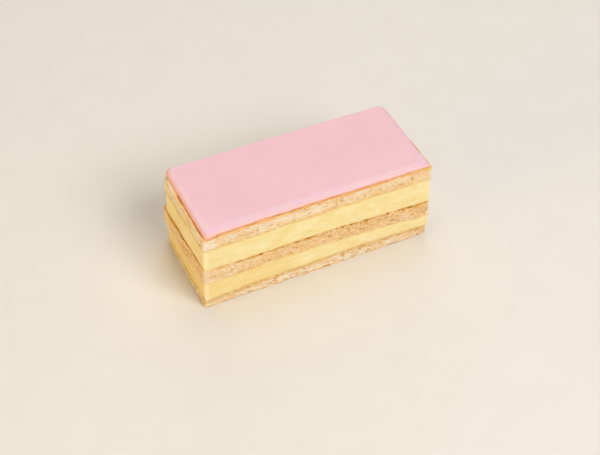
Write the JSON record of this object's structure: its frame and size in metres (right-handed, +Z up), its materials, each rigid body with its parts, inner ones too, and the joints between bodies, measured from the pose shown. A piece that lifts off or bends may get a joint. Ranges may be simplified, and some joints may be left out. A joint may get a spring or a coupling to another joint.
{
  "type": "mille feuille slice",
  "caption": "Rectangular slice of puff pastry sheets and thick custard under smooth pink icing, lying flat, cut clean on every side.",
  "frame": {"origin": "middle of the flat underside", "axes": "+X along the slice, +Z up through the layers, -Y the cut long face"},
  "size_m": [0.1269, 0.0542, 0.0493],
  "materials": {
    "pale_pastry": "pale flaky baked pastry, matt",
    "brown_pastry": "browned flaky baked pastry, matt",
    "golden_pastry": "golden flaky baked pastry, matt",
    "custard": "set custard, smooth and slightly moist",
    "icing": "set poured icing, satin"
  },
  "bodies": {
    "root": {"bottom_pastry_sheet": "pale_pastry", "lower_custard": "custard", "middle_pastry_sheet": "brown_pastry", "upper_custard": "custard", "top_pastry_sheet": "golden_pastry", "icing": "icing"}
  },
  "joints": []
}
